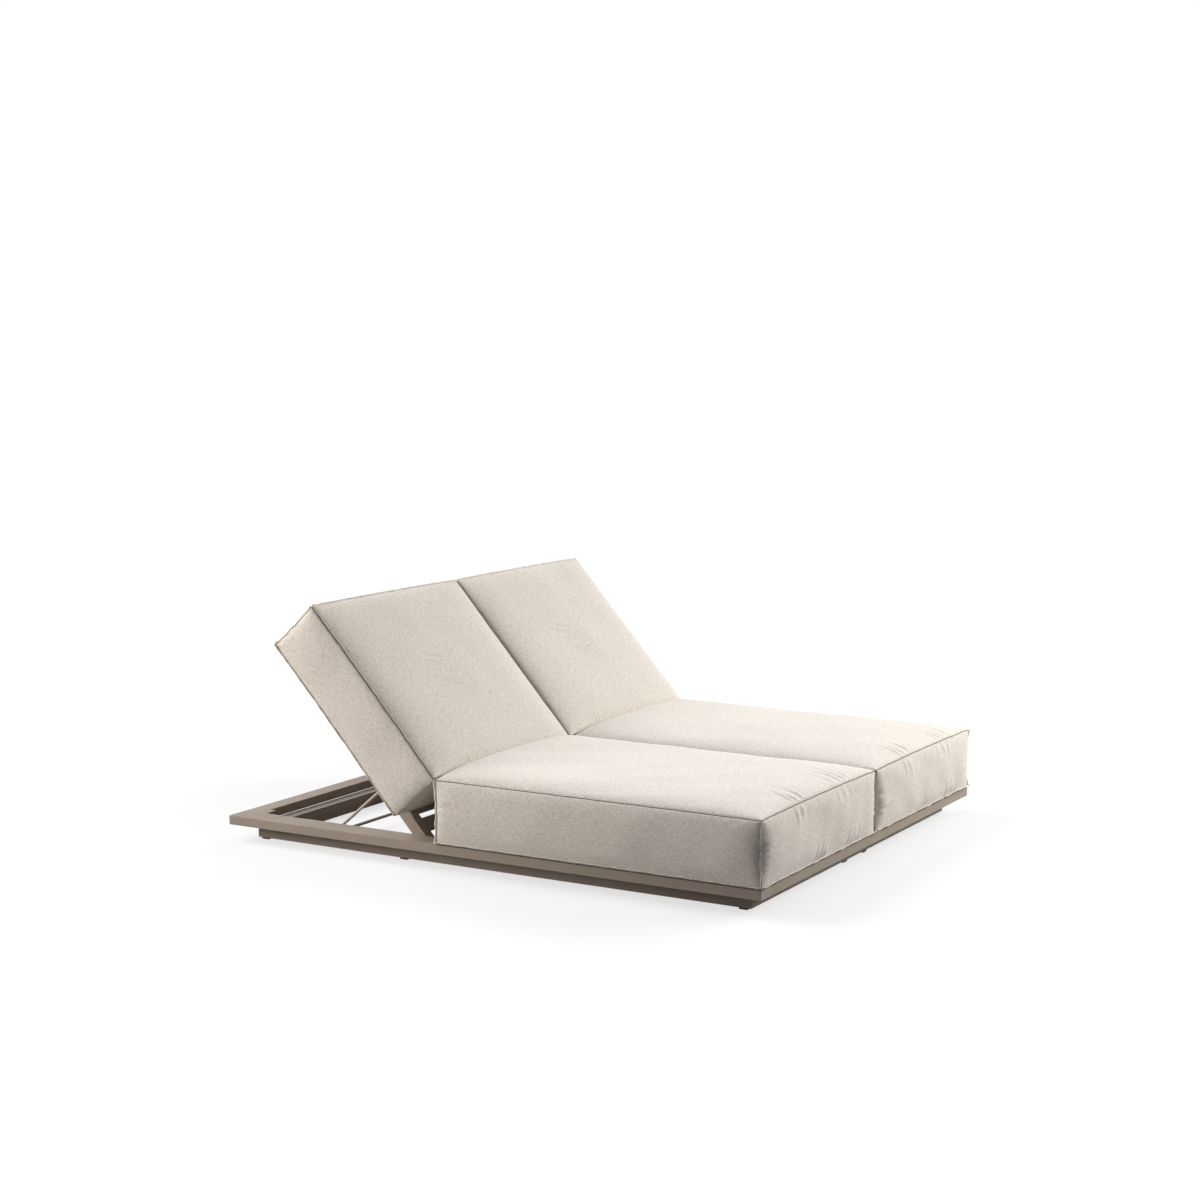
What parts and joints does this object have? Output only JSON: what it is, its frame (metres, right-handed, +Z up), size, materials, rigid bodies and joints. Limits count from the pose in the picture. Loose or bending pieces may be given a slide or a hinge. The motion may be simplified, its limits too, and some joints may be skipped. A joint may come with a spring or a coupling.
{
  "type": "double chaise lounger",
  "caption": "Low double sun lounger with an inset plinth, box cushions side by side and two separately tilting backs, each held up by a folding prop.",
  "frame": {"origin": "on the floor below the middle of the lounger", "axes": "+Y toward the head end, +Z up, +X to the right as seen from the foot end"},
  "size_m": [1.7, 2.01, 0.8342],
  "materials": {
    "frame_finish": "powder-coated satin taupe with a fine grain",
    "prop_finish": "powder-coated satin sand",
    "cushion_fabric": "heathered outdoor weave, ecru",
    "foam_core": null,
    "black_plastic": "moulded nylon, fine spark texture",
    "glide_rubber": "matt black rubber",
    "stainless_hardware": "brushed stainless steel"
  },
  "bodies": {
    "base": {"centre_spine": "frame_finish", "corner_gussets": "frame_finish", "cross_beams": "frame_finish", "deck_end_beams": "frame_finish", "floor_glides": "glide_rubber", "foot_rail": "frame_finish", "head_rail": "frame_finish", "hinge_bolts": "stainless_hardware", "hinge_nuts": "stainless_hardware", "plinth_centre": "frame_finish", "plinth_foot": "frame_finish", "plinth_head": "frame_finish", "plinth_side_left": "frame_finish", "plinth_side_right": "frame_finish", "prop_rack_bars": "frame_finish", "rack_screws": "stainless_hardware", "rack_stop_pins": "stainless_hardware", "seat_cushion_cover_left": "cushion_fabric", "seat_cushion_cover_right": "cushion_fabric", "seat_cushion_foam_left": "foam_core", "seat_cushion_foam_right": "foam_core", "seat_slats_left": "frame_finish", "seat_slats_right": "frame_finish", "side_rail_left": "frame_finish", "side_rail_right": "frame_finish", "slat_ledges": "frame_finish", "tube_end_plates": "frame_finish"},
    "back_left": {"arm_end_caps_left": "black_plastic", "back_arm_inner_left": "frame_finish", "back_arm_outer_left": "frame_finish", "back_crossbar_lower_left": "frame_finish", "back_crossbar_upper_left": "frame_finish", "back_slats_left": "frame_finish", "hinge_bushes_left": "black_plastic", "prop_bolts_left": "stainless_hardware", "prop_nuts_left": "stainless_hardware", "prop_spacers_left": "black_plastic"},
    "back_right": {"arm_end_caps_right": "black_plastic", "back_arm_inner_right": "frame_finish", "back_arm_outer_right": "frame_finish", "back_crossbar_lower_right": "frame_finish", "back_crossbar_upper_right": "frame_finish", "back_slats_right": "frame_finish", "hinge_bushes_right": "black_plastic", "prop_bolts_right": "stainless_hardware", "prop_nuts_right": "stainless_hardware", "prop_spacers_right": "black_plastic"},
    "cushion_left": {"back_cushion_cover_left": "cushion_fabric", "back_cushion_foam_left": "foam_core"},
    "cushion_right": {"back_cushion_cover_right": "cushion_fabric", "back_cushion_foam_right": "foam_core"},
    "prop_left": {"prop_foot_rod_left": "prop_finish", "prop_leg_inner_left": "prop_finish", "prop_leg_outer_left": "prop_finish", "rod_end_caps_left": "black_plastic"},
    "prop_right": {"prop_foot_rod_right": "prop_finish", "prop_leg_inner_right": "prop_finish", "prop_leg_outer_right": "prop_finish", "rod_end_caps_right": "black_plastic"}
  },
  "joints": [
    {"name": "back_left_hinge", "type": "hinge", "parent": "base", "child": "back_left", "pos_m": [-0.39, 0.265, 0.063], "axis": [1, 0, 0], "range_deg": [-48, 0]},
    {"name": "cushion_left_hinge", "type": "hinge", "parent": "base", "child": "cushion_left", "pos_m": [-0.425, 0.1595, 0.29996], "axis": [1, 0, 0], "range_deg": [-48, 0]},
    {"name": "prop_left_pivot", "type": "hinge", "parent": "back_left", "child": "prop_left", "pos_m": [-0.39, 0.42559, 0.24135], "axis": [1, 0, 0], "range_deg": [-0.1, 83.6]},
    {"name": "back_right_hinge", "type": "hinge", "parent": "base", "child": "back_right", "pos_m": [0.39, 0.265, 0.063], "axis": [1, 0, 0], "range_deg": [-48, 0]},
    {"name": "cushion_right_hinge", "type": "hinge", "parent": "base", "child": "cushion_right", "pos_m": [0.425, 0.1595, 0.29996], "axis": [1, 0, 0], "range_deg": [-48, 0]},
    {"name": "prop_right_pivot", "type": "hinge", "parent": "back_right", "child": "prop_right", "pos_m": [0.39, 0.42559, 0.24135], "axis": [1, 0, 0], "range_deg": [-0.1, 83.6]}
  ],
  "couplings": [
    {"joint": "cushion_left_hinge", "follows": "back_left_hinge", "ratio": 1},
    {"joint": "prop_left_pivot", "follows": "back_left_hinge", "ratio": -1.7365},
    {"joint": "cushion_right_hinge", "follows": "back_right_hinge", "ratio": 1},
    {"joint": "prop_right_pivot", "follows": "back_right_hinge", "ratio": -1.7365}
  ]
}
